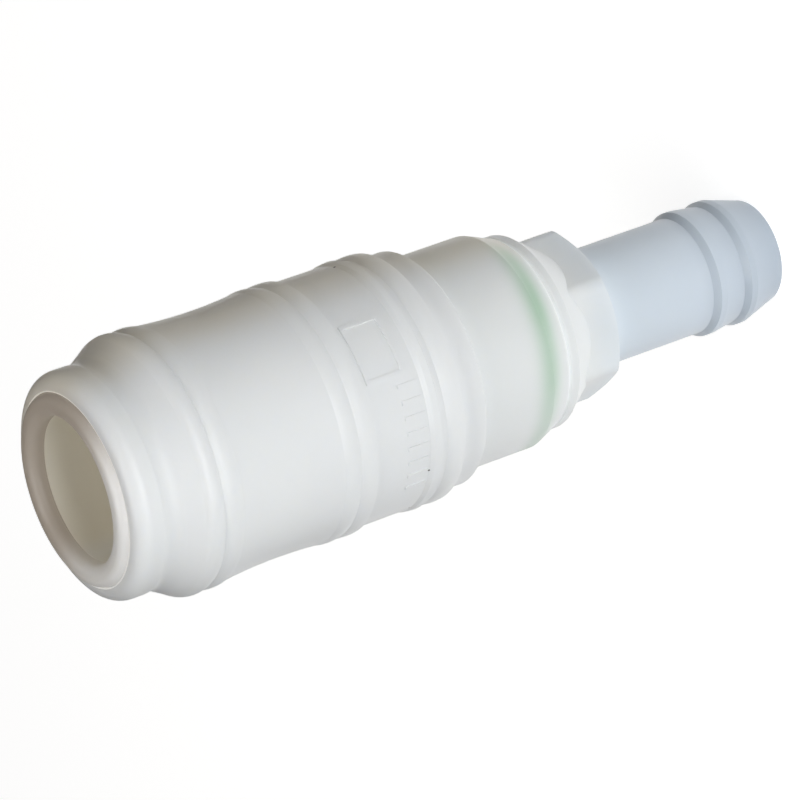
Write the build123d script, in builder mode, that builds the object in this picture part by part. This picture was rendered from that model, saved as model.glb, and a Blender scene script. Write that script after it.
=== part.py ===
from build123d import *
import os
from math import cos, radians, sin, sqrt, tan

# Socket half of a plastic quick disconnect coupling with a barbed hose end.
# It stands on the barb's end face: the origin is the centre of that face, +Z runs along
# the axis towards the mouth, and every radius is measured from that axis.  Millimetres.

os.makedirs("parts", exist_ok=True)

# ---------------------------------------------------------------- driving dimensions
# Fits and clearances
running_gap = 0.06          # radial gap between pieces that slide on each other
seat_gap = 0.05             # gap between pieces that rest against each other
ball_gap = 0.05             # gap round a locking ball
land_gap = 0.3              # free gap beside a moving piece
edge_break = 0.25           # small chamfer on moulded edges
seal_ease = 0.025           # gap between a seal ring and its round groove

# Hose barb
flow_r = 4.75               # bore of the hose end
tube_wall = 2.2
barb_crest_rise = 0.55      # crests above the plain tube
barb_root_rise = 0.15
barb_tip_drop = 0.75        # end of the barb below the plain tube
barb_tip_round = 0.35
barb_crest_width = 0.8      # flat land on each crest
barb_lead = 5.4             # end face to the far edge of the first crest's land
barb_pitch = 4.35           # from one crest to the next
barb_back = 0.8             # axial length of the steep slope behind a crest
tube_length = 15.65         # second crest's land to the hexagon

# Hexagon and flange of the adaptor
hex_flats = 18.0            # across flats
hex_corner_round = 1.7
hex_length = 7.0
hex_turn = 43.0             # degrees, first corner from +X
hex_chamfer_angle = 30.0
neck_angle = 35.0           # cone between hexagon and flange, measured from the axis
flange_thickness = 1.5
flange_round = 0.25
flange_step = 0.05          # flange below the end of the body

# Front of the body, from its bore outwards
socket_r = 8.3              # bore that the plug's nose seals in
mouth_step = 0.2            # the mouth that guides the plug is wider than the bore
core_wall = 2.85            # wall of the slim part inside the sleeve
nose_length = 36.6          # spring shoulder to the rim of the sleeve
nose_step = 0.65            # nose in front of the balls, slimmer than the part behind
nose_tip_step = 1.4         # tip of the nose, slimmer than the slim part
chamber_step = 1.3          # valve chamber wider than the bore
seat_ledge = 1.9            # throat of the valve seat narrower than the bore
seat_length = 3.6           # axial length of the valve's conical seat
throat_length = 1.5

# Smooth cylinder and rear end of the body
shoulder_step = 1.55        # smooth cylinder wider than the slim part
body_cone_length = 3.0
body_cone_drop = 1.1        # end of the rear cone below the smooth cylinder
barrel_length = 21.1        # end face to the spring shoulder

# Screwed spigot of the adaptor
body_wall = 2.3             # wall of the smooth cylinder round the spigot
spigot_groove = 1.65        # depth of the seal's groove behind the screwed part
spigot_wall = 2.1           # wall under the groove
spigot_length = 9.6
spigot_pilot = 1.05         # plain collar between flange and seal
spigot_funnel = 3.0         # length of the cone from the hose bore to the spigot bore

# Seal ring between body and adaptor
adaptor_seal_section = 1.0  # radius of the ring's round section
adaptor_seal_room = 2.1     # axial room for it

# Front ring, the domed lip that holds the sleeve on the nose
lip_length = 2.65           # foot of the ring to the rim of the sleeve
lip_floor = 1.05            # rim of the sleeve to the tip of the nose
lip_crown = 0.85            # how far the lip stands proud of the rim
lip_round = 1.1             # rounding into the bore
lip_flat = 0.45             # width of the crown's flat top

# Socket seal
seal_section = 1.0
seal_below_balls = 9.9
seal_groove_width = 2.4
seal_squeeze = 0.45         # how far the ring stands into the bore
seat_below_seal = 5.5       # middle of the seal to the narrow end of the valve seat

# Locking balls
ball_r = 2.25
ball_count = 8
ball_bite = 1.0             # how far a locked ball stands into the bore
ball_travel = 1.1
window_lip = 0.7            # thickness of the narrowed inner end of a window

# Release sleeve, inside
sleeve_travel = 6.0
catch_length = 3.15         # inner collar that the front ring holds
recess_relief = 1.4         # axial length of the slope behind the collar
sleeve_guide_length = 4.0   # land that runs on the slim part of the body
spring_room = 0.3           # radial room beside the smooth cylinder for the spring
shoulder_cover = 1.5        # the rear land ends this far below the spring shoulder

# Release sleeve, outside, from the front down.  Depths are below the highest grip ring.
grip_wall = 2.4             # highest grip ring above the smooth cylinder
nose_depth = 1.9            # front bulge
nose_round = 1.9
nose_length_out = 3.4       # rim to the end of the front bulge
neck_depth = 2.05           # narrowest place behind the front bulge
neck_length = 2.5
neck_end_depth = 1.48
neck_lean = 0.35            # where the narrowest place lies in the neck's length
front_cone_length = 1.8
front_cone_depth = 0.43
fore_grip_width = 2.3
fore_grip_groove = 0.25
fore_grip_end = 0.15
fore_grip_lean = 0.4        # where the first ring's crest lies in its width
waist_length = 13.2
waist_start_depth = 0.2
waist_depth = 0.64
rear_grip_width = 2.1
rear_grip_depth = 0.23
rear_grip_groove = 0.17     # grooves below the rear rings
rear_grip_end = 0.03
band_length = 7.1
band_depth = 0.65
band_draft = 0.02
cuff_length = 1.4           # ring with the sharp rear edge
cuff_rise = 0.6             # axial length of its front slope
cuff_depth = 0.38
cuff_draft = 0.08
groove_width = 0.9
groove_depth = 0.7
groove_slope = 0.2
bead_width = 2.3
bead_depth = 0.45
bead_draft = 0.05
skirt_length = 3.5
skirt_depth = 1.24
skirt_slope = 0.15

# Raised marks on the band: a square frame and a row of plain bars
mark_height = 0.13
mark_width = 0.45
frame_turn = -75.0          # degrees, middle of the frame
frame_span = 29.0           # degrees
frame_length = 5.0
frame_lift = 0.4            # middle of the frame ahead of the middle of the band
bar_count = 8
bar_turn = -95.5            # degrees, first bar
bar_pitch = 7.3             # degrees from bar to bar
bar_length = 2.6
bar_drop = 1.95             # middle of the bars behind the middle of the band

# Sleeve spring and its washer
washer_thickness = 0.8
washer_chamfer = 0.15
sleeve_wire_r = 0.5
sleeve_coils = 6.0

# Valve
guide_plate = 2.0
guide_ring_width = 2.6
guide_hub_wall = 1.24
guide_hub_rise = 2.6
guide_hub_drop = 1.4
guide_arm_width = 2.0
guide_arms = 3
stem_r = 1.9
stem_chamfer = 0.3
stem_reach = 0.6            # how far the closed valve's stem stands out of its guide
poppet_rim_room = 1.4       # flow gap between the poppet and the chamber
poppet_rim_width = 1.3
poppet_nose_depth = 1.4     # nose narrower than the throat of the seat
poppet_nose_rise = 3.4
poppet_nose_chamfer = 0.6
poppet_spring_pocket = 1.2
poppet_seal_section = 0.8
poppet_seal_shift = 0.6     # seal ring outside the middle of the cone
poppet_gap = 0.35           # cone to seat, taken up by the seal ring
valve_wire_r = 0.45
valve_coils = 5.0
valve_spring_room = 0.65    # radial gap between the guide's hub and the spring

# ---------------------------------------------------------------- radii from the bore outwards
mouth_r = socket_r + mouth_step
chamber_r = socket_r + chamber_step
seat_throat_r = socket_r - seat_ledge
core_r = socket_r + core_wall
nose_r = core_r - nose_step
nose_tip_r = core_r - nose_tip_step
body_r = core_r + shoulder_step
body_end_r = body_r - body_cone_drop
flange_r = body_end_r - flange_step
thread_r = body_r - body_wall
spigot_r = thread_r - seat_gap
spigot_neck_r = spigot_r - spigot_groove
spigot_bore_r = spigot_neck_r - spigot_wall
adaptor_seal_r = spigot_neck_r + seat_gap + adaptor_seal_section
seal_recess_r = adaptor_seal_r + adaptor_seal_section + seat_gap
groove_floor_r = socket_r - seal_squeeze + 2 * seal_section + seat_gap
tube_r = flow_r + tube_wall
barb_crest_r = tube_r + barb_crest_rise
barb_root_r = tube_r + barb_root_rise
barb_tip_r = tube_r - barb_tip_drop

sleeve_guide_r = core_r + running_gap
sleeve_catch_r = nose_r + running_gap
sleeve_land_r = body_r + running_gap
sleeve_bore_r = body_r + spring_room
grip_r = body_r + grip_wall
bulge_r = grip_r - nose_depth
neck_r = grip_r - neck_depth
neck_end_r = grip_r - neck_end_depth
front_cone_r = grip_r - front_cone_depth
fore_groove_r = grip_r - fore_grip_groove
fore_end_r = grip_r - fore_grip_end
waist_start_r = grip_r - waist_start_depth
waist_r = grip_r - waist_depth
rear_crest_r = grip_r - rear_grip_depth
rear_groove_r = rear_crest_r - rear_grip_groove
rear_end_r = rear_crest_r - rear_grip_end
band_r = grip_r - band_depth
band_end_r = band_r - band_draft
cuff_r = grip_r - cuff_depth
groove_r = grip_r - groove_depth
bead_r = grip_r - bead_depth
skirt_r = grip_r - skirt_depth

guide_hub_r = stem_r + running_gap + guide_hub_wall
valve_spring_r = guide_hub_r + valve_spring_room + valve_wire_r
poppet_pocket_r = valve_spring_r + valve_wire_r + land_gap
poppet_rim_r = chamber_r - poppet_rim_room
poppet_nose_r = seat_throat_r - poppet_nose_depth

# ---------------------------------------------------------------- stations along the axis
crest_low = barb_lead
crest_high = crest_low + barb_pitch
hex_base = crest_high + tube_length
flange_base = hex_base + hex_length
body_base = flange_base + flange_thickness
cone_top = body_base + body_cone_length
seal_room_base = body_base + spigot_pilot
seal_room_top = seal_room_base + adaptor_seal_room
spigot_top = body_base + spigot_length
guide_top = spigot_top + guide_plate
shoulder = body_base + barrel_length
rim = shoulder + nose_length
lip_base = rim - lip_length
tip_top = rim - lip_floor
catch_top = lip_base - seat_gap
catch_base = catch_top - catch_length
ramp_top = catch_base - recess_relief
ball_plane = catch_base - sleeve_travel - ball_r - 2 * land_gap
core_top = ball_plane + ball_r + land_gap
ramp_base = ball_plane - ball_r - ball_gap - recess_relief / 2
spring_ceiling = ramp_base - sleeve_guide_length
seal_plane = ball_plane - seal_below_balls
seat_small_end = seal_plane - seat_below_seal
seat_large_end = seat_small_end - seat_length

# Outside of the sleeve
bulge_end = rim - nose_length_out
neck_end = bulge_end - neck_length
cone_end = neck_end - front_cone_length
grip_1_end = cone_end - fore_grip_width
grip_2_end = grip_1_end - fore_grip_width
waist_end = grip_2_end - waist_length
grip_3_end = waist_end - rear_grip_width
grip_4_end = grip_3_end - rear_grip_width
band_end = grip_4_end - band_length
cuff_end = band_end - cuff_length
groove_end = cuff_end - groove_width
bead_end = groove_end - bead_width
sleeve_base = bead_end - skirt_length

# Locking geometry: a ball rides on the sleeve's inside ramp.  The ramp's slope is the ratio
# of the two travels, so ball and sleeve keep a constant gap over the whole stroke.
ball_centre_r = socket_r - ball_bite + ball_r
ramp_slope = ball_travel / sleeve_travel
ramp_normal = sqrt(1 + ramp_slope ** 2)
ramp_r_at_ball = ball_centre_r + (ball_r + ball_gap) * ramp_normal
ramp_base_r = ramp_r_at_ball - (ball_plane - ramp_base) * ramp_slope
ramp_top_r = ramp_r_at_ball + (ramp_top - ball_plane) * ramp_slope


# ---------------------------------------------------------------- hose adaptor
hex_corner_r = hex_flats / 2 / cos(radians(30))
hex_chamfer = (hex_corner_r - hex_flats / 2) * tan(radians(hex_chamfer_angle))
neck_base = flange_base - (flange_r - flange_round - hex_flats / 2) / tan(radians(neck_angle))
pilot_r = seal_recess_r - seat_gap
with BuildPart() as hose_adaptor:
    with BuildSketch(Plane.XZ):
        with BuildLine():
            Line((flow_r, 0), (barb_tip_r - barb_tip_round, 0))
            RadiusArc(
                (barb_tip_r - barb_tip_round, 0),
                (barb_tip_r, barb_tip_round),
                -barb_tip_round,
            )
            Polyline(
                (barb_tip_r, barb_tip_round),
                (barb_crest_r, crest_low - barb_crest_width),
                (barb_crest_r, crest_low),
                (barb_root_r, crest_low + barb_back),
                (barb_crest_r, crest_high - barb_crest_width),
                (barb_crest_r, crest_high),
                (tube_r, crest_high + barb_back),
                (tube_r, neck_base),
                (hex_flats / 2, neck_base),
                (flange_r - flange_round, flange_base),
                (flange_r, flange_base + flange_round),
                (flange_r, body_base - edge_break),
                (flange_r - edge_break, body_base),
                (pilot_r, body_base),
                (pilot_r, seal_room_base),
                (spigot_neck_r, seal_room_base),
                (spigot_neck_r, seal_room_top),
                (spigot_r, seal_room_top),
                (spigot_r, spigot_top),
                (spigot_bore_r, spigot_top),
                (spigot_bore_r, body_base),
                (flow_r, body_base - spigot_funnel),
                (flow_r, 0),
            )
        make_face()
    revolve(axis=Axis.Z)
    with BuildSketch(Plane.XY.offset(hex_base)):
        RegularPolygon(hex_flats / 2, 6, major_radius=False, rotation=hex_turn)
        fillet(vertices(), radius=hex_corner_round)
        Circle(tube_r, mode=Mode.SUBTRACT)
    extrude(amount=hex_length)
    with BuildSketch(Plane.XZ):
        with BuildLine():
            Polyline(
                (hex_flats / 2, hex_base),
                (hex_corner_r + land_gap, hex_base),
                (hex_corner_r + land_gap, hex_base + hex_chamfer),
                (hex_corner_r, hex_base + hex_chamfer),
                close=True,
            )
        make_face()
    revolve(axis=Axis.Z, mode=Mode.SUBTRACT)
hose_adaptor.part.label = "hose_adaptor"
export_step(hose_adaptor.part, "parts/hose_adaptor.step")

# ---------------------------------------------------------------- adaptor seal ring
with BuildPart() as adaptor_seal:
    with BuildSketch(Plane.XZ):
        with Locations((adaptor_seal_r, seal_room_base + adaptor_seal_room / 2)):
            Circle(adaptor_seal_section)
    revolve(axis=Axis.Z)
adaptor_seal.part.label = "adaptor_seal"
export_step(adaptor_seal.part, "parts/adaptor_seal.step")

# ---------------------------------------------------------------- socket body
with BuildPart() as socket_body:
    with BuildSketch(Plane.XZ):
        with BuildLine():
            Polyline(
                (seal_recess_r, body_base),
                (body_end_r - edge_break, body_base),
                (body_end_r, body_base + edge_break),
                (body_r, cone_top),
                (body_r, shoulder),
                (core_r, shoulder),
                (core_r, core_top),
                (nose_r, core_top),
                (nose_r, lip_base),
                (nose_tip_r, lip_base),
                (nose_tip_r, tip_top),
                (mouth_r, tip_top),
                (mouth_r, core_top),
                (socket_r, core_top - mouth_step),
                (socket_r, seal_plane + seal_groove_width / 2),
                (groove_floor_r, seal_plane + seal_groove_width / 2),
                (groove_floor_r, seal_plane - seal_groove_width / 2),
                (socket_r, seal_plane - seal_groove_width / 2),
                (socket_r, seat_small_end + throat_length),
                (seat_throat_r, seat_small_end + throat_length),
                (seat_throat_r, seat_small_end),
                (chamber_r, seat_large_end),
                (chamber_r, guide_top),
                (thread_r, guide_top),
                (thread_r, seal_room_top),
                (seal_recess_r, seal_room_top),
                (seal_recess_r, body_base),
            )
        make_face()
    revolve(axis=Axis.Z)
    # Windows for the locking balls: open from outside, narrowed at the bore so that a
    # ball stands into the bore but can't fall through.
    window_r = ball_r + ball_gap
    window_floor_r = socket_r + window_lip
    bite_r = sqrt(ball_r ** 2 - (ball_centre_r - socket_r) ** 2) + 2 * ball_gap
    for n in range(ball_count):
        turn = radians(360 * n / ball_count)
        outward = Vector(cos(turn), sin(turn), 0)
        height = Vector(0, 0, ball_plane)
        floor = Plane(origin=outward * window_floor_r + height, z_dir=outward)
        bore_side = Plane(origin=outward * (socket_r - ball_bite) + height, z_dir=outward)
        with BuildSketch(floor):
            Circle(window_r)
        extrude(amount=core_r, mode=Mode.SUBTRACT)
        with BuildSketch(bore_side):
            Circle(bite_r)
        with BuildSketch(floor):
            Circle(window_r)
        loft(mode=Mode.SUBTRACT)
socket_body.part.label = "socket_body"
export_step(socket_body.part, "parts/socket_body.step")

# ---------------------------------------------------------------- front ring
lip_foot = lip_base + seat_gap
lip_seat = tip_top + seat_gap
lip_top = rim + lip_crown
lip_round_r = mouth_r + lip_round
lip_crown_r = lip_round_r + lip_flat
with BuildPart() as front_ring:
    with BuildSketch(Plane.XZ):
        with BuildLine():
            Polyline(
                (nose_tip_r + seat_gap, lip_seat),
                (nose_tip_r + seat_gap, lip_foot),
                (core_r, lip_foot),
                (core_r, rim),
            )
            TangentArc((lip_crown_r, lip_top), (core_r, rim), tangent=(1, 0))
            Line((lip_crown_r, lip_top), (lip_round_r, lip_top))
            RadiusArc((lip_round_r, lip_top), (mouth_r, lip_top - lip_round), -lip_round)
            Polyline(
                (mouth_r, lip_top - lip_round),
                (mouth_r, lip_seat),
                (nose_tip_r + seat_gap, lip_seat),
            )
        make_face()
    revolve(axis=Axis.Z)
front_ring.part.label = "front_ring"
export_step(front_ring.part, "parts/front_ring.step")

# ---------------------------------------------------------------- release sleeve
with BuildPart() as release_sleeve:
    with BuildSketch(Plane.XZ):
        with BuildLine():
            Line((sleeve_guide_r, rim), (bulge_r - nose_round, rim))
            RadiusArc((bulge_r - nose_round, rim), (bulge_r, rim - nose_round), nose_round)
            Line((bulge_r, rim - nose_round), (bulge_r, bulge_end))
            ThreePointArc(
                (bulge_r, bulge_end),
                (neck_r, bulge_end - neck_length * neck_lean),
                (neck_end_r, neck_end),
            )
            Line((neck_end_r, neck_end), (front_cone_r, cone_end))
            ThreePointArc(
                (front_cone_r, cone_end),
                (grip_r, cone_end - fore_grip_width * fore_grip_lean),
                (fore_groove_r, grip_1_end),
            )
            ThreePointArc(
                (fore_groove_r, grip_1_end),
                (grip_r, grip_1_end - fore_grip_width / 2),
                (fore_end_r, grip_2_end),
            )
            Line((fore_end_r, grip_2_end), (waist_start_r, grip_2_end))
            ThreePointArc(
                (waist_start_r, grip_2_end),
                (waist_r, (grip_2_end + waist_end) / 2),
                (rear_groove_r, waist_end),
            )
            ThreePointArc(
                (rear_groove_r, waist_end),
                (rear_crest_r, waist_end - rear_grip_width / 2),
                (rear_groove_r, grip_3_end),
            )
            ThreePointArc(
                (rear_groove_r, grip_3_end),
                (rear_crest_r, grip_3_end - rear_grip_width / 2),
                (rear_end_r, grip_4_end),
            )
            Polyline(
                (rear_end_r, grip_4_end),
                (band_r, grip_4_end),
                (band_end_r, band_end),
                (cuff_r - cuff_draft, band_end - cuff_rise),
                (cuff_r, cuff_end),
                (groove_r, cuff_end - groove_slope),
                (groove_r, groove_end),
            )
            ThreePointArc(
                (groove_r, groove_end),
                (bead_r, groove_end - bead_width / 2),
                (bead_r - bead_draft, bead_end),
            )
            Polyline(
                (bead_r - bead_draft, bead_end),
                (skirt_r - bead_draft, bead_end - skirt_slope),
                (skirt_r, sleeve_base + edge_break),
                (skirt_r - edge_break, sleeve_base),
                (sleeve_land_r, sleeve_base),
                (sleeve_land_r, shoulder - shoulder_cover),
                (sleeve_bore_r, shoulder - shoulder_cover + land_gap),
                (sleeve_bore_r, spring_ceiling),
                (sleeve_guide_r, spring_ceiling),
                (sleeve_guide_r, ramp_base),
                (ramp_base_r, ramp_base),
                (ramp_top_r, ramp_top),
                (core_r + land_gap, catch_base),
                (sleeve_catch_r, catch_base),
                (sleeve_catch_r, catch_top),
                (sleeve_guide_r, catch_top),
                (sleeve_guide_r, rim),
            )
        make_face()
    revolve(axis=Axis.Z)
    # Raised marks as (first angle, span in degrees, height, length along the axis).
    band_middle = (grip_4_end + band_end) / 2
    width_turn = mark_width / radians(1) / band_r
    frame_middle = band_middle + frame_lift
    frame_start = frame_turn - frame_span / 2
    frame_offset = (frame_length - mark_width) / 2
    marks = [
        (frame_start, width_turn, frame_middle, frame_length),
        (frame_start + frame_span - width_turn, width_turn, frame_middle, frame_length),
        (frame_start, frame_span, frame_middle + frame_offset, mark_width),
        (frame_start, frame_span, frame_middle - frame_offset, mark_width),
    ]
    for n in range(bar_count):
        marks.append((bar_turn - bar_pitch * n, width_turn, band_middle - bar_drop, bar_length))
    for start, span, height, length in marks:
        with BuildSketch(Plane.XZ.rotated((0, 0, start))):
            with Locations((band_end_r, height)):
                Rectangle(2 * mark_height, length)
        revolve(axis=Axis.Z, revolution_arc=span)
release_sleeve.part.label = "release_sleeve"
export_step(release_sleeve.part, "parts/release_sleeve.step")

# ---------------------------------------------------------------- locking balls
for n in range(ball_count):
    turn = radians(360 * n / ball_count)
    with BuildPart() as locking_ball:
        with Locations((ball_centre_r * cos(turn), ball_centre_r * sin(turn), ball_plane)):
            Sphere(ball_r)
    locking_ball.part.label = f"locking_ball_{n + 1}"
    export_step(locking_ball.part, f"parts/locking_ball_{n + 1}.step")

# ---------------------------------------------------------------- socket seal
with BuildPart() as socket_seal:
    with BuildSketch(Plane.XZ):
        with Locations((socket_r - seal_squeeze + seal_section, seal_plane)):
            Circle(seal_section)
    revolve(axis=Axis.Z)
socket_seal.part.label = "socket_seal"
export_step(socket_seal.part, "parts/socket_seal.step")

# ---------------------------------------------------------------- sleeve spring and washer
with BuildPart() as spring_washer:
    with BuildSketch(Plane.XY.offset(shoulder)):
        Circle(body_r - washer_chamfer)
        Circle(core_r + seat_gap, mode=Mode.SUBTRACT)
    extrude(amount=washer_thickness)
    chamfer(spring_washer.edges().filter_by(GeomType.CIRCLE), washer_chamfer)
spring_washer.part.label = "spring_washer"
export_step(spring_washer.part, "parts/spring_washer.step")

sleeve_spring_base = shoulder + washer_thickness + sleeve_wire_r + seat_gap
sleeve_spring_height = spring_ceiling - sleeve_wire_r - seat_gap - sleeve_spring_base
with BuildPart() as sleeve_spring:
    with BuildLine():
        coil = Helix(
            pitch=sleeve_spring_height / sleeve_coils,
            height=sleeve_spring_height,
            radius=(core_r + sleeve_bore_r) / 2,
            center=(0, 0, sleeve_spring_base),
        )
    with BuildSketch(Plane(origin=coil @ 0, z_dir=coil % 0)):
        Circle(sleeve_wire_r)
    sweep(is_frenet=True)
sleeve_spring.part.label = "sleeve_spring"
export_step(sleeve_spring.part, "parts/sleeve_spring.step")

# ---------------------------------------------------------------- valve guide
guide_arm_reach = spigot_r - guide_ring_width / 2
guide_base = spigot_top - guide_hub_drop
with BuildPart() as valve_guide:
    with BuildSketch(Plane.XY.offset(spigot_top)):
        Circle(spigot_r)
        Circle(spigot_r - guide_ring_width, mode=Mode.SUBTRACT)
        with PolarLocations(0, guide_arms):
            with Locations((guide_arm_reach / 2, 0)):
                Rectangle(guide_arm_reach, guide_arm_width)
    extrude(amount=guide_plate)
    with BuildSketch(Plane.XY.offset(guide_base)):
        Circle(guide_hub_r)
    extrude(amount=guide_hub_drop + guide_plate + guide_hub_rise)
    with BuildSketch(Plane.XY.offset(guide_base)):
        Circle(stem_r + running_gap)
    extrude(amount=guide_hub_drop + guide_plate + guide_hub_rise, mode=Mode.SUBTRACT)
valve_guide.part.label = "valve_guide"
export_step(valve_guide.part, "parts/valve_guide.step")

# ---------------------------------------------------------------- valve poppet and its seal
seat_slope = seat_length / (chamber_r - seat_throat_r)
seat_normal = sqrt(1 + seat_slope ** 2)
cone_drop = poppet_gap * seat_normal          # poppet's cone below the seat, along the axis
rim_top = seat_small_end - cone_drop - (poppet_rim_r - seat_throat_r) * seat_slope
nose_base = seat_small_end - cone_drop + (seat_throat_r - poppet_nose_r) * seat_slope
nose_top = nose_base + poppet_nose_rise
rim_base = rim_top - poppet_rim_width
pocket_top = rim_base + poppet_spring_pocket
stem_base = guide_base - stem_reach
# The seal ring lies in a round groove of the cone and reaches almost to the seat.
seal_mid_r = (poppet_rim_r + poppet_nose_r) / 2 + poppet_seal_shift
seal_sink = poppet_seal_section - poppet_gap + seat_gap
seal_mid_z = seat_small_end - cone_drop - (seal_mid_r - seat_throat_r) * seat_slope
seal_centre = (
    seal_mid_r - seal_sink * seat_slope / seat_normal,
    seal_mid_z - seal_sink / seat_normal,
)
with BuildPart() as valve_poppet:
    with BuildSketch(Plane.XZ):
        with BuildLine():
            Polyline(
                (0, stem_base),
                (stem_r - stem_chamfer, stem_base),
                (stem_r, stem_base + stem_chamfer),
                (stem_r, pocket_top),
                (poppet_pocket_r, pocket_top),
                (poppet_pocket_r, rim_base),
                (poppet_rim_r, rim_base),
                (poppet_rim_r, rim_top),
                (poppet_nose_r, nose_base),
                (poppet_nose_r, nose_top - poppet_nose_chamfer),
                (poppet_nose_r - poppet_nose_chamfer, nose_top),
                (0, nose_top),
                (0, stem_base),
            )
        make_face()
        with Locations(seal_centre):
            Circle(poppet_seal_section + seal_ease, mode=Mode.SUBTRACT)
    revolve(axis=Axis.Z)
valve_poppet.part.label = "valve_poppet"
export_step(valve_poppet.part, "parts/valve_poppet.step")

with BuildPart() as poppet_seal:
    with BuildSketch(Plane.XZ):
        with Locations(seal_centre):
            Circle(poppet_seal_section)
    revolve(axis=Axis.Z)
poppet_seal.part.label = "poppet_seal"
export_step(poppet_seal.part, "parts/poppet_seal.step")

# ---------------------------------------------------------------- valve spring
valve_spring_base = guide_top + valve_wire_r + seat_gap
valve_spring_height = pocket_top - valve_wire_r - seat_gap - valve_spring_base
with BuildPart() as valve_spring:
    with BuildLine():
        turns = Helix(
            pitch=valve_spring_height / valve_coils,
            height=valve_spring_height,
            radius=valve_spring_r,
            center=(0, 0, valve_spring_base),
        )
    with BuildSketch(Plane(origin=turns @ 0, z_dir=turns % 0)):
        Circle(valve_wire_r)
    sweep(is_frenet=True)
valve_spring.part.label = "valve_spring"
export_step(valve_spring.part, "parts/valve_spring.step")
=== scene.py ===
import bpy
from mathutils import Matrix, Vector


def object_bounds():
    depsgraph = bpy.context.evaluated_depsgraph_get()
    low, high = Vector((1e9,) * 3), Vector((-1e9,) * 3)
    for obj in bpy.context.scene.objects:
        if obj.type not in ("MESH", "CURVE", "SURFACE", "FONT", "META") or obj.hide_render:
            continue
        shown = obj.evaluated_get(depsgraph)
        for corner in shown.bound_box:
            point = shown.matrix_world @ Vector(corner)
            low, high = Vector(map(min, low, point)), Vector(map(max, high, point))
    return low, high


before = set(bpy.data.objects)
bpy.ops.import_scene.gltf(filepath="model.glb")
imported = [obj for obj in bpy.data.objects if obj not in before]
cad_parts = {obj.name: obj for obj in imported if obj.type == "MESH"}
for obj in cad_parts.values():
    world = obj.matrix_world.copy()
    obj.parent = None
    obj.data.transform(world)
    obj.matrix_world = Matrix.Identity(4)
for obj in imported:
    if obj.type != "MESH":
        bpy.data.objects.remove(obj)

"""Looks of a plastic quick disconnect coupling: milky moulded shells, a green seal that
shines through the body, locking balls, springs and a shut-off valve."""

import logging
import math
from dataclasses import dataclass
from enum import Enum
from functools import cached_property

import bmesh
import bpy
from mathutils import Matrix, Vector

MM = 0.001
LOG = logging.getLogger("coupling")
CAD_LOW, CAD_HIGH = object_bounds()

Colour = tuple[float, float, float]
Socket = bpy.types.NodeSocket

BLACK: Colour = (0.0, 0.0, 0.0)
WHITE: Colour = (1.0, 1.0, 1.0)
SHARP_ANGLE = 30.0          # degrees above which an edge of a piece stays sharp


# ------------------------------------------------------------------ shader nodes
class Effect(Enum):
    """Shared shader effects, by the name of their node group."""

    CLOUD = "cloudy_tone"
    GLOW = "ring_glow"
    SPECKS = "edge_specks"
    INSIDE = "inside_mask"
    SIDE = "side_mask"
    RISE = "height_rise"


GROUPS: dict[Effect, bpy.types.NodeTree] = {}


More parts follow.
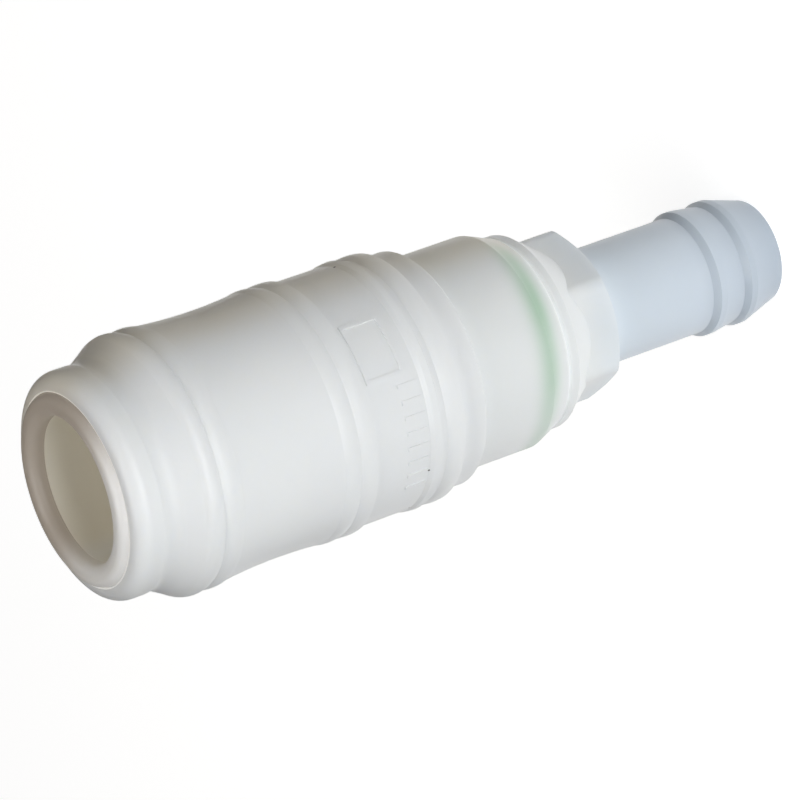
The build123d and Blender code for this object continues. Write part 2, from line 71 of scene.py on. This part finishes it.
class Nodes:
    """Small helper that adds and wires nodes in one tree."""

    def __init__(self, tree: bpy.types.NodeTree) -> None:
        """Keep the tree to add to."""
        self.tree = tree

    def add(self, kind: str, **values: object) -> bpy.types.Node:
        """Add a node and set its properties or input values.

        Args:
            kind: Node type name.
            values: Property names, or names of inputs.

        Returns:
            The new node.
        """
        node = self.tree.nodes.new(kind)
        for key, value in values.items():
            if hasattr(node, key):
                setattr(node, key, value)
            else:
                node.inputs[key].default_value = value
        return node

    def link(self, out: Socket, into: Socket) -> None:
        """Wire one socket to another."""
        self.tree.links.new(out, into)

    def feed(self, into: Socket, value: object) -> None:
        """Give an input its value.

        Args:
            into: The input.
            value: Socket to wire to it, colour or number.
        """
        if isinstance(value, Socket):
            self.link(value, into)
        elif isinstance(value, tuple):
            into.default_value = (*value, 1.0)
        else:
            into.default_value = value

    def math(self, operation: str, *values: object, clamp: bool = False) -> Socket:
        """Add a math node.

        Args:
            operation: Name of the operation.
            values: Up to three numbers or sockets.
            clamp: Whether the result stays from 0 to 1.

        Returns:
            The node's output socket.
        """
        node = self.add("ShaderNodeMath", operation=operation, use_clamp=clamp)
        for socket, value in zip(node.inputs, values):
            self.feed(socket, value)
        return node.outputs[0]

    def mix(self, factor: object, a: object, b: object, blend: str = "MIX") -> Socket:
        """Add a colour mix.

        Args:
            factor: Number or socket from 0 to 1.
            a: Colour or socket at 0.
            b: Colour or socket at 1.
            blend: How the second colour meets the first.

        Returns:
            The node's colour output.
        """
        node = self.add("ShaderNodeMix", data_type="RGBA", blend_type=blend)
        for index, value in ((0, factor), (6, a), (7, b)):
            self.feed(node.inputs[index], value)
        return node.outputs[2]

    def ramp(self, value: Socket, start: object, end: object, smooth: bool = True) -> Socket:
        """Add a ramp from 0 at the start to 1 at the end.

        Args:
            value: Socket to read.
            start: Number or socket where the ramp is 0.
            end: Number or socket where the ramp is 1.
            smooth: Whether the ramp eases in and out.

        Returns:
            The ramp's output socket.
        """
        kind = "SMOOTHSTEP" if smooth else "LINEAR"
        node = self.add("ShaderNodeMapRange", interpolation_type=kind, clamp=True)
        self.feed(node.inputs["Value"], value)
        self.feed(node.inputs["From Min"], start)
        self.feed(node.inputs["From Max"], end)
        return node.outputs["Result"]

    def split(self, vector: Socket) -> bpy.types.NodeOutputs:
        """Split a vector into its parts.

        Args:
            vector: Socket to read.

        Returns:
            The outputs X, Y and Z.
        """
        node = self.add("ShaderNodeSeparateXYZ")
        self.link(vector, node.inputs[0])
        return node.outputs

    def effect(self, effect: Effect, place: Socket, **values: float) -> bpy.types.NodeOutputs:
        """Add one of the shared effects.

        Args:
            effect: Which one.
            place: Object coordinates.
            values: Numbers for the inputs of the group.

        Returns:
            The outputs of the group.
        """
        node = self.add("ShaderNodeGroup", node_tree=GROUPS[effect])
        for label, value in values.items():
            node.inputs[label].default_value = value
        self.link(place, node.inputs["Vector"])
        return node.outputs


class Group(Nodes):
    """A shared effect under construction: reads a vector and numbers, gives values."""

    def __init__(self, effect: Effect, outputs: tuple[str, ...] = ("Mask",), **inputs: float) -> None:
        """Make the group with its sockets.

        Args:
            effect: The effect that it is for.
            outputs: Names of the values that it gives.
            inputs: Names of its numbers, with their usual values.
        """
        super().__init__(bpy.data.node_groups.new(effect.value, "ShaderNodeTree"))
        sockets = self.tree.interface
        sockets.new_socket(name="Vector", in_out="INPUT", socket_type="NodeSocketVector")
        for label, usual in inputs.items():
            socket = sockets.new_socket(name=label, in_out="INPUT", socket_type="NodeSocketFloat")
            socket.default_value = usual
        for label in outputs:
            sockets.new_socket(name=label, in_out="OUTPUT", socket_type="NodeSocketFloat")
        self.inlet = self.add("NodeGroupInput").outputs
        self.outlet = self.add("NodeGroupOutput").inputs
        GROUPS[effect] = self.tree

    def noise(self, **values: float) -> Socket:
        """Add noise over the group's vector.

        Args:
            values: Numbers for the inputs of the noise.

        Returns:
            The noise's value.
        """
        node = self.add("ShaderNodeTexNoise", **values)
        self.link(self.inlet["Vector"], node.inputs["Vector"])
        return node.outputs["Fac"]


def make_cloud() -> None:
    """Make the cloudy, uneven tone of moulded natural plastic, and its fine grain."""
    g = Group(Effect.CLOUD, ("Tone", "Grain"), Scale=90.0, Contrast=1.0)
    cloud = g.add("ShaderNodeTexNoise", Detail=3.0, Roughness=0.55)
    g.link(g.inlet["Vector"], cloud.inputs["Vector"])
    g.link(g.inlet["Scale"], cloud.inputs["Scale"])
    centred = g.math("SUBTRACT", cloud.outputs["Fac"], 0.5)
    g.link(g.math("MULTIPLY_ADD", centred, g.inlet["Contrast"], 0.5), g.outlet["Tone"])
    g.link(g.noise(Scale=2600.0, Detail=4.0, Roughness=0.6), g.outlet["Grain"])


def make_glow() -> None:
    """Make the mask of a ring round the axis, soft above and below and a little patchy."""
    g = Group(Effect.GLOW, Height=0.035, Spread=0.0015, Patchiness=0.5, Lean=0.0)
    place = g.split(g.inlet["Vector"])
    level = g.math("MULTIPLY_ADD", place["X"], g.inlet["Lean"], place["Z"])
    share = g.math("DIVIDE", g.math("SUBTRACT", level, g.inlet["Height"]), g.inlet["Spread"])
    bell = g.math("EXPONENT", g.math("MULTIPLY", g.math("MULTIPLY", share, share), -1.0))
    centred = g.math("SUBTRACT", g.noise(Scale=55.0, Detail=1.0), 0.5)
    uneven = g.math("MULTIPLY_ADD", centred, 3.0, 0.5)
    kept = g.math("SUBTRACT", 1.0, g.math("MULTIPLY", uneven, g.inlet["Patchiness"]))
    g.link(g.math("MULTIPLY", bell, kept, clamp=True), g.outlet["Mask"])


def make_specks() -> None:
    """Make the mask of a few tiny specks of dirt along one height."""
    g = Group(Effect.SPECKS, Height=0.0546, Reach=0.0004, Size=0.16, Rarity=0.72)
    cells = g.add("ShaderNodeTexVoronoi", Scale=1000.0)
    g.link(g.inlet["Vector"], cells.inputs["Vector"])
    dot = g.math("LESS_THAN", cells.outputs["Distance"], g.inlet["Size"])
    pick = g.add("ShaderNodeSeparateColor")
    g.link(cells.outputs["Color"], pick.inputs[0])
    chosen = g.math("GREATER_THAN", pick.outputs[0], g.inlet["Rarity"])
    height = g.split(g.inlet["Vector"])["Z"]
    away = g.math("ABSOLUTE", g.math("SUBTRACT", height, g.inlet["Height"]))
    close = g.math("LESS_THAN", away, g.inlet["Reach"])
    g.link(g.math("MULTIPLY", g.math("MULTIPLY", dot, chosen), close), g.outlet["Mask"])


def make_inside() -> None:
    """Make the mask of what lies near the axis and above a height."""
    g = Group(Effect.INSIDE, Radius=0.0098, Height=0.055)
    place = g.split(g.inlet["Vector"])
    flat = g.add("ShaderNodeCombineXYZ")
    for axis in "XY":
        g.link(place[axis], flat.inputs[axis])
    reach = g.add("ShaderNodeVectorMath", operation="LENGTH")
    g.link(flat.outputs[0], reach.inputs[0])
    near = g.math("LESS_THAN", reach.outputs["Value"], g.inlet["Radius"])
    above = g.math("GREATER_THAN", place["Z"], g.inlet["Height"])
    g.link(g.math("MULTIPLY", near, above), g.outlet["Mask"])


def make_side() -> None:
    """Make the mask of the side of a round piece that lies one way from the axis."""
    g = Group(Effect.SIDE, Turn=0.0, From=-0.25, To=0.85)
    place = g.split(g.inlet["Vector"])
    angle = g.math("ARCTAN2", place["Y"], place["X"])
    cosine = g.math("COSINE", g.math("SUBTRACT", angle, g.inlet["Turn"]))
    g.link(g.ramp(cosine, g.inlet["From"], g.inlet["To"]), g.outlet["Mask"])


def make_rise() -> None:
    """Make the mask that rises evenly from 0 to 1 between two heights."""
    g = Group(Effect.RISE, Low=0.0, High=0.030)
    height = g.split(g.inlet["Vector"])["Z"]
    g.link(g.ramp(height, g.inlet["Low"], g.inlet["High"], smooth=False), g.outlet["Mask"])


# ------------------------------------------------------------------ what a milky wall shows
@dataclass(frozen=True)
class RingGlow:
    """A coloured ring inside that shines through the wall.  Millimetres."""

    colour: Colour
    height: float
    spread: float
    share: float
    lean: float
    patchiness: float = 0.6

    def tint(self, n: Nodes, place: Socket, colour: Socket) -> Socket:
        """Put the ring into the colour.

        Args:
            n: Helper on the material's tree.
            place: Object coordinates.
            colour: The colour so far.

        Returns:
            The new colour.
        """
        mask = n.effect(
            Effect.GLOW, place, Height=self.height * MM, Spread=self.spread * MM,
            Patchiness=self.patchiness, Lean=self.lean,
        )["Mask"]
        return n.mix(n.math("MULTIPLY", mask, self.share), colour, self.colour)


@dataclass(frozen=True)
class TintAndShadeByHeight:
    """Tints by height: a bluish tint, with painted shade that darkens the wall towards the floor."""

    top: float
    stops: tuple[tuple[float, Colour], ...]

    def tint(self, n: Nodes, place: Socket, colour: Socket) -> Socket:
        """Multiply the colour by the tint of each height.

        Args:
            n: Helper on the material's tree.
            place: Object coordinates.
            colour: The colour so far.

        Returns:
            The new colour.
        """
        ramp = n.add("ShaderNodeValToRGB")
        elements = ramp.color_ramp.elements
        while len(elements) < len(self.stops) + 1:
            elements.new(0.5)
        for element, (height, tint) in zip(elements, (*self.stops, (self.top, WHITE))):
            element.position = height / self.top
            element.color = (*tint, 1.0)
        n.link(n.effect(Effect.RISE, place, High=self.top * MM)["Mask"], ramp.inputs["Fac"])
        # Painted shade: the ramp darkens the colour towards the floor.
        return n.mix(1.0, colour, ramp.outputs["Color"], blend="MULTIPLY")


@dataclass(frozen=True)
class PaintedShadeSide:
    """Painted shade on the side that lies away from the window: a darker, warmer base colour there, and
    painted light (emission) that stands in for light coming through the wall.
    """

    colour: Colour
    turn: float = -130.0
    start: float = -0.3
    end: float = 0.25
    # Painted light: emission on the far side, and on the near side.
    light: Colour | None = None
    painted_near_light: Colour = BLACK

    def mask(self, n: Nodes, place: Socket) -> Socket:
        """Return the mask that is 0 on this side and 1 on the other."""
        values = {"Turn": math.radians(self.turn), "From": self.start, "To": self.end}
        return n.effect(Effect.SIDE, place, **values)["Mask"]


@dataclass(frozen=True)
class PaintedInnerLight:
    """Painted light: emission near the axis and above a height, which lights up a bore or the inner edge
    of a rim.  Millimetres.
    """

    colour: Colour
    radius: float
    height: float

    def mask(self, n: Nodes, place: Socket) -> Socket:
        """Return the mask of the bore."""
        size = {"Radius": self.radius * MM, "Height": self.height * MM}
        return n.effect(Effect.INSIDE, place, **size)["Mask"]


@dataclass(frozen=True)
class PaintedSeamLight:
    """Painted light: emission along a seam, which lifts the shade in its crease to a light line.
    Millimetres.
    """

    height: float
    spread: float = 0.3
    colour: Colour = (0.16, 0.165, 0.165)

    def mask(self, n: Nodes, place: Socket) -> Socket:
        """Return the mask of the seam."""
        size = {"Height": self.height * MM, "Spread": self.spread * MM, "Patchiness": 0.0}
        return n.effect(Effect.GLOW, place, **size)["Mask"]


@dataclass(frozen=True)
class Specks:
    """Specks of dirt along one height.  Millimetres."""

    height: float
    colour: Colour = (0.10, 0.09, 0.08)

    def tint(self, n: Nodes, place: Socket, colour: Socket) -> Socket:
        """Put the specks on the colour.

        Args:
            n: Helper on the material's tree.
            place: Object coordinates.
            colour: The colour so far.

        Returns:
            The new colour.
        """
        mask = n.effect(Effect.SPECKS, place, Height=self.height * MM)["Mask"]
        return n.mix(mask, colour, self.colour)


# ------------------------------------------------------------------ finishes
@dataclass(frozen=True)
class Finish:
    """A finish, made once and shared by the pieces that have it."""

    name: str
    colour: Colour

    @cached_property
    def material(self) -> bpy.types.Material:
        """Make the material on first use.

        Returns:
            The material.
        """
        material = bpy.data.materials.new(self.name)
        material.use_nodes = True
        n = Nodes(material.node_tree)
        place = n.add("ShaderNodeTexCoord").outputs["Object"]
        self.fill(n, material.node_tree.nodes["Principled BSDF"].inputs, place)
        return material

    def fill(self, n: Nodes, shader: bpy.types.NodeInputs, place: Socket) -> None:
        """Set the shader's inputs.

        Args:
            n: Helper on the material's tree.
            shader: Inputs of the shader.
            place: Object coordinates.
        """
        raise NotImplementedError


@dataclass(frozen=True)
class MilkyPlastic(Finish):
    """Moulded natural plastic: milky, slightly see-through, with a soft gloss."""

    shade: Colour
    roughness: float = 0.38
    roughness_swing: float = 0.08
    ior: float = 1.36
    gloss: float = 0.15
    gloss_roughness: float = 0.12
    milk: float = 0.4
    milk_spread: Colour = (1.0, 0.95, 0.85)
    depth: float = 2.2
    cloud_scale: float = 70.0
    grain_strength: float = 0.05
    grain_depth: float = 0.04
    glow: RingGlow | None = None
    # Painted shade and painted light: the height tint darkens towards the floor, the side tone darkens
    # the far side, and the inner and seam lights are emission.
    tint_and_shade: TintAndShadeByHeight | None = None
    painted_shade_side: PaintedShadeSide | None = None
    painted_inner_light: PaintedInnerLight | None = None
    seam: PaintedSeamLight | None = None
    specks: Specks | None = None

    def fill(self, n: Nodes, shader: bpy.types.NodeInputs, place: Socket) -> None:
        """Set the shader's inputs.

        Args:
            n: Helper on the material's tree.
            shader: Inputs of the shader.
            place: Object coordinates.
        """
        cloud = n.effect(Effect.CLOUD, place, Scale=self.cloud_scale)
        colour = n.mix(cloud["Tone"], self.shade, self.colour)
        light = None
        # The height tint brings painted shade towards the floor.
        for part in (self.glow, self.tint_and_shade):
            if part is not None:
                colour = part.tint(n, place, colour)
        # Painted shade: a darker, warmer colour on the side away from the key light, with painted light
        # (emission) there.
        if self.painted_shade_side is not None:
            near = self.painted_shade_side.mask(n, place)
            colour = n.mix(near, self.painted_shade_side.colour, colour)
            if self.painted_shade_side.light is not None:
                light = n.mix(near, self.painted_shade_side.light, self.painted_shade_side.painted_near_light)
        # Painted light: emission inside the bore or rim, and along the seam.
        for part in (self.painted_inner_light, self.seam):
            if part is not None:
                light = n.mix(part.mask(n, place), BLACK if light is None else light, part.colour)
        if self.specks is not None:
            colour = self.specks.tint(n, place, colour)
        # All the painted light goes into the emission.
        if light is not None:
            n.link(light, shader["Emission Color"])
            shader["Emission Strength"].default_value = 1.0
        n.link(colour, shader["Base Color"])
        lowest = self.roughness - self.roughness_swing / 2
        rough = n.math("MULTIPLY_ADD", cloud["Tone"], self.roughness_swing, lowest)
        n.link(rough, shader["Roughness"])
        shader["IOR"].default_value = self.ior
        shader["Coat Weight"].default_value = self.gloss
        shader["Coat Roughness"].default_value = self.gloss_roughness
        shader["Subsurface Weight"].default_value = self.milk
        shader["Subsurface Radius"].default_value = self.milk_spread
        shader["Subsurface Scale"].default_value = self.depth * MM
        bump = n.add("ShaderNodeBump", Strength=self.grain_strength, Distance=self.grain_depth * MM)
        n.link(cloud["Grain"], bump.inputs["Height"])
        n.link(bump.outputs["Normal"], shader["Normal"])


@dataclass(frozen=True)
class Rubber(Finish):
    """Moulded seal rubber."""

    roughness: float = 0.5
    shade: float = 0.8

    def fill(self, n: Nodes, shader: bpy.types.NodeInputs, place: Socket) -> None:
        """Set the shader's inputs.

        Args:
            n: Helper on the material's tree.
            shader: Inputs of the shader.
            place: Object coordinates.
        """
        dark = tuple(self.shade * part for part in self.colour)
        tone = n.effect(Effect.CLOUD, place)["Tone"]
        n.link(n.mix(tone, dark, self.colour), shader["Base Color"])
        shader["Roughness"].default_value = self.roughness


@dataclass(frozen=True)
class Steel(Finish):
    """Bright drawn or polished steel."""

    roughness: float
    swing: float = 0.15
    ease: float = 0.07

    def fill(self, n: Nodes, shader: bpy.types.NodeInputs, place: Socket) -> None:
        """Set the shader's inputs.

        Args:
            n: Helper on the material's tree.
            shader: Inputs of the shader.
            place: Object coordinates.
        """
        grain = n.effect(Effect.CLOUD, place)["Grain"]
        shader["Base Color"].default_value = (*self.colour, 1.0)
        shader["Metallic"].default_value = 1.0
        rough = n.math("MULTIPLY_ADD", grain, self.swing, self.roughness - self.ease)
        n.link(rough, shader["Roughness"])


DARK_RUBBER = Rubber("dark_rubber", (0.02, 0.02, 0.02))
SPRING_WIRE = Steel("spring_wire", (0.62, 0.61, 0.59), 0.3)


# ------------------------------------------------------------------ sub-assemblies
@dataclass(frozen=True)
class SubAssembly:
    """Packed pieces that belong together.  Sizes in millimetres above the barb's end."""

    def finishes(self) -> dict[str, Finish]:
        """Return the finish of each piece, by the piece's name."""
        raise NotImplementedError

    def dress(self) -> None:
        """Give each piece its finish in place of its plain one."""
        for node, finish in self.finishes().items():
            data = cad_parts[node].data
            data.materials.clear()
            data.materials.append(finish.material)
            data.shade_smooth()
            data.set_sharp_from_angle(angle=math.radians(SHARP_ANGLE))
            LOG.info("dressed %s", node)


@dataclass(frozen=True)
class Sleeve(SubAssembly):
    """Release sleeve and the domed ring that holds it on the nose."""

    rim_height: float = 91.4
    rim_radius: float = 11.35
    cuff_height: float = 54.6

    @cached_property
    def shell(self) -> MilkyPlastic:
        """Return the finish of the sleeve."""
        # Painted shade: warmer, darker tone on the side away from the key light; painted highlight:
        # emission round the inner edge of the front rim.
        return MilkyPlastic(
            "milky_sleeve", (0.87, 0.88, 0.88), (0.81, 0.83, 0.84),
            painted_shade_side=PaintedShadeSide((0.84, 0.80, 0.71)),
            painted_inner_light=PaintedInnerLight((0.25, 0.24, 0.22), self.rim_radius, self.rim_height),
            specks=Specks(self.cuff_height),
        )

    @cached_property
    def ring(self) -> MilkyPlastic:
        """Return the finish of the domed ring."""
        # Painted shade: dark brown colour on the ring's far side; painted light: emission on both sides,
        # more on the far side.
        side = PaintedShadeSide(
            (0.36, 0.32, 0.28), turn=-145.0, start=-0.25, end=0.85,
            light=(0.085, 0.073, 0.060), painted_near_light=(0.06, 0.056, 0.05),
        )
        return MilkyPlastic(
            "milky_ring", (0.86, 0.85, 0.83), (0.82, 0.81, 0.79), milk=0.6, depth=4.0, painted_shade_side=side
        )

    def finishes(self) -> dict[str, Finish]:
        """Return the finish of each piece, by the piece's name."""
        return {"release_sleeve": self.shell, "front_ring": self.ring}


@dataclass(frozen=True)
class Body(SubAssembly):
    """Socket body, through which the adaptor's green seal shines, and the plug's seal."""

    bore_radius: float = 9.6
    bore_height: float = 55.0
    seam_height: float = 33.9
    green_height: float = 36.72
    green_spread: float = 1.5
    green_lean: float = 0.07

    @cached_property
    def shell(self) -> MilkyPlastic:
        """Return the finish of the body."""
        # Painted shade: warmer, darker tone on the side away from the key light; painted light: emission
        # in the bore and along the seam.
        return MilkyPlastic(
            "milky_body", (0.84, 0.86, 0.86), (0.79, 0.81, 0.81),
            glow=RingGlow((0.30, 0.52, 0.34), self.green_height, self.green_spread, 0.9, self.green_lean),
            painted_shade_side=PaintedShadeSide((0.80, 0.77, 0.68)),
            painted_inner_light=PaintedInnerLight((0.072, 0.063, 0.048), self.bore_radius, self.bore_height),
            seam=PaintedSeamLight(self.seam_height),
        )

    def finishes(self) -> dict[str, Finish]:
        """Return the finish of each piece, by the piece's name."""
        return {"socket_body": self.shell, "socket_seal": DARK_RUBBER}


@dataclass(frozen=True)
class HoseEnd(SubAssembly):
    """Hose adaptor, bluish and with painted shade that darkens it towards the barb, and its green seal.
    """

    crest_height: float = 12.0
    tube_top: float = 23.0
    hexagon_height: float = 30.0
    seam_height: float = 33.9

    @cached_property
    def shell(self) -> MilkyPlastic:
        """Return the finish of the adaptor."""
        # Bluish tint, with painted shade that darkens the tube towards the barb's end; painted light
        # along the seam.
        stops = (
            (0.0, (0.44, 0.49, 0.56)),
            (self.crest_height, (0.70, 0.76, 0.84)),
            (self.tube_top, (0.80, 0.86, 0.93)),
        )
        return MilkyPlastic(
            "milky_adaptor", (0.85, 0.87, 0.87), (0.80, 0.82, 0.83),
            tint_and_shade=TintAndShadeByHeight(self.hexagon_height, stops), seam=PaintedSeamLight(self.seam_height),
        )

    def finishes(self) -> dict[str, Finish]:
        """Return the finish of each piece, by the piece's name."""
        return {"hose_adaptor": self.shell, "adaptor_seal": Rubber("green_rubber", (0.10, 0.42, 0.20))}


@dataclass(frozen=True)
class Lock(SubAssembly):
    """Locking balls, and the spring and washer that push the sleeve forward."""

    ball_count: int = 8
    ball: Steel = Steel("polished_ball", (0.75, 0.75, 0.76), 0.28)

    def finishes(self) -> dict[str, Finish]:
        """Return the finish of each piece, by the piece's name."""
        balls = {f"locking_ball_{number + 1}": self.ball for number in range(self.ball_count)}
        return {**balls, "spring_washer": SPRING_WIRE, "sleeve_spring": SPRING_WIRE}


@dataclass(frozen=True)
class Valve(SubAssembly):
    """Shut-off valve: poppet, seal, guide and spring."""

    poppet: MilkyPlastic
    guide: MilkyPlastic

    def finishes(self) -> dict[str, Finish]:
        """Return the finish of each piece, by the piece's name."""
        return {
            "poppet_seal": DARK_RUBBER,
            "valve_poppet": self.poppet,
            "valve_guide": self.guide,
            "valve_spring": SPRING_WIRE,
        }


# ------------------------------------------------------------------ studio
class Side(Enum):
    """Where each soft box stands, as compass turn and height angle in degrees."""

    KEY = (-112.0, 6.0)
    FILL = (-85.0, 6.0)
    TOP = (-112.0, 78.0)


@dataclass(frozen=True)
class SoftBox:
    """A rectangular soft light that faces the middle of the coupling.  Metres."""

    name: str
    side: Side
    width: float
    height: float
    power: float
    colour: Colour
    reach: float = 0.55
    aim_height: float = 50 * MM

    def build(self) -> None:
        """Make the light."""
        turn, rise = (math.radians(angle) for angle in self.side.value)
        flat = math.cos(rise)
        direction = Vector((flat * math.cos(turn), flat * math.sin(turn), math.sin(rise)))
        data = bpy.data.lights.new(self.name, "AREA")
        data.shape = "RECTANGLE"
        data.size = self.width
        data.size_y = self.height
        data.energy = self.power
        data.color = self.colour
        lamp = bpy.data.objects.new(self.name, data)
        lamp.location = Vector((0, 0, self.aim_height)) + direction * self.reach
        lamp.rotation_euler = direction.to_track_quat("Z", "Y").to_euler()
        bpy.context.scene.collection.objects.link(lamp)


@dataclass(frozen=True)
class Floor:
    """Pale floor with a soft-edged pool of light on it.  Millimetres."""

    half_size: float = 6000.0
    tone: Colour = (0.70, 0.70, 0.70)
    light: float = 0.06
    pool_tone: Colour = (0.5, 0.5, 0.5)
    pool_light: float = 0.78
    pool_shift: tuple[float, float] = (36.0, -125.0)
    pool_turn: float = 13.0
    pool_reach: tuple[float, float] = (68.0, 150.0)
    pool_fade: float = 22.0
    roughness: float = 0.9

    def build(self) -> None:
        """Lay the floor."""
        mesh = bmesh.new()
        bmesh.ops.create_grid(mesh, x_segments=1, y_segments=1, size=self.half_size * MM)
        bmesh.ops.translate(mesh, verts=mesh.verts, vec=(0, 0, CAD_LOW[2]))
        data = bpy.data.meshes.new("floor")
        mesh.to_mesh(data)
        mesh.free()
        data.materials.append(self.material())
        floor = bpy.data.objects.new("floor", data)
        bpy.context.scene.collection.objects.link(floor)

    def material(self) -> bpy.types.Material:
        """Make the floor's material.

        Returns:
            The material.
        """
        material = bpy.data.materials.new("pale_floor")
        material.use_nodes = True
        n = Nodes(material.node_tree)
        shader = material.node_tree.nodes["Principled BSDF"].inputs
        shader["Roughness"].default_value = self.roughness
        shader["Specular IOR Level"].default_value = 0.0
        shader["Emission Color"].default_value = (*WHITE, 1.0)
        pool = self.pool(n)
        n.link(n.mix(pool, self.tone, self.pool_tone), shader["Base Color"])
        n.link(n.math("MULTIPLY_ADD", pool, self.pool_light, self.light), shader["Emission Strength"])
        return material

    def pool(self, n: Nodes) -> Socket:
        """Add the mask of the pool of light.

        Args:
            n: Helper on the material's tree.

        Returns:
            The mask.
        """
        shift = n.add("ShaderNodeMapping", vector_type="POINT")
        shift.inputs["Location"].default_value = (*(part * MM for part in self.pool_shift), 0.0)
        shift.inputs["Rotation"].default_value = (0.0, 0.0, math.radians(self.pool_turn))
        n.link(n.add("ShaderNodeTexCoord").outputs["Object"], shift.inputs["Vector"])
        place = n.split(shift.outputs["Vector"])
        edges = []
        for axis, reach in zip("XY", self.pool_reach):
            away = n.math("ABSOLUTE", place[axis])
            past = n.ramp(away, reach * MM, (reach + self.pool_fade) * MM)
            edges.append(n.math("SUBTRACT", 1.0, past))
        return n.math("MULTIPLY", *edges)


@dataclass(frozen=True)
class Surroundings:
    """Faint light from all round, neutral on one side and warm on the other."""

    cool: Colour = (0.01, 0.01, 0.01)
    warm: Colour = (0.03, 0.022, 0.012)
    warm_way: tuple[float, float, float] = (0.82, 0.4, 0.4)
    reach: float = 0.7

    def build(self) -> None:
        """Make the world."""
        world = bpy.data.worlds.new("studio")
        bpy.context.scene.world = world
        world.use_nodes = True
        n = Nodes(world.node_tree)
        back = world.node_tree.nodes["Background"].inputs
        along = n.add("ShaderNodeVectorMath", operation="DOT_PRODUCT")
        along.inputs[1].default_value = Vector(self.warm_way).normalized()
        n.link(n.add("ShaderNodeTexCoord").outputs["Generated"], along.inputs[0])
        side = n.ramp(along.outputs["Value"], -self.reach, self.reach)
        n.link(n.mix(side, self.cool, self.warm), back["Color"])
        back["Strength"].default_value = 1.0


@dataclass(frozen=True)
class Camera:
    """Camera at the viewing angle, rolled on its side.  Millimetres and degrees."""

    distance: float = 603.4
    elevation: float = 27.83
    roll: float = -19.55
    aim: tuple[float, float, float] = (-2.62, 0.0, 50.3)
    lens: float = 241.6
    sensor: float = 36.0
    nearest: float = 10.0

    def build(self) -> None:
        """Place the camera and make it the scene's own."""
        tilt, roll = math.radians(self.elevation), math.radians(self.roll)
        aim = Vector(self.aim) * MM
        away = Vector((0, -math.cos(tilt), math.sin(tilt)))
        eye = away * self.distance * MM + Vector((0, 0, aim.z))
        ahead = (aim - eye).normalized()
        right = ahead.cross(Vector((1, 0, 0))).normalized()
        up = right.cross(ahead)
        across = math.cos(roll) * right + math.sin(roll) * up
        above = -math.sin(roll) * right + math.cos(roll) * up
        data = bpy.data.cameras.new("camera")
        data.lens = self.lens
        data.sensor_width = self.sensor
        data.clip_start = self.nearest * MM
        camera = bpy.data.objects.new("camera", data)
        axes = Matrix((across, above, -ahead)).transposed().to_4x4()
        camera.matrix_world = Matrix.Translation(eye) @ axes
        bpy.context.scene.collection.objects.link(camera)
        bpy.context.scene.camera = camera
        bpy.context.scene.view_settings.view_transform = "Standard"


@dataclass(frozen=True)
class Studio:
    """Pale floor, soft light and the camera."""

    stage: tuple[Floor | Surroundings | SoftBox | Camera, ...] = (
        Floor(),
        Surroundings(),
        SoftBox("key_soft_box", Side.KEY, 0.55, 0.26, 1.80, (0.97, 0.99, 1.0)),
        SoftBox("fill_soft_box", Side.FILL, 0.55, 0.26, 0.61, (0.97, 0.99, 1.0)),
        SoftBox("top_soft_box", Side.TOP, 0.40, 0.30, 1.34, (1.0, 0.99, 0.98)),
        Camera(),
    )

    def build(self) -> None:
        """Make the floor, the world, the lights and the camera."""
        for thing in self.stage:
            thing.build()


def main() -> None:
    """Build the studio and dress every piece."""
    for make in (make_cloud, make_glow, make_specks, make_inside, make_side, make_rise):
        make()
    Studio().build()
    sleeve, hose_end = Sleeve(), HoseEnd()
    valve = Valve(poppet=sleeve.shell, guide=hose_end.shell)
    for assembly in (sleeve, Body(), hose_end, Lock(), valve):
        assembly.dress()
        LOG.info("finished %s", type(assembly).__name__)


if __name__ == "__main__":
    logging.basicConfig(level=logging.INFO)
    main()
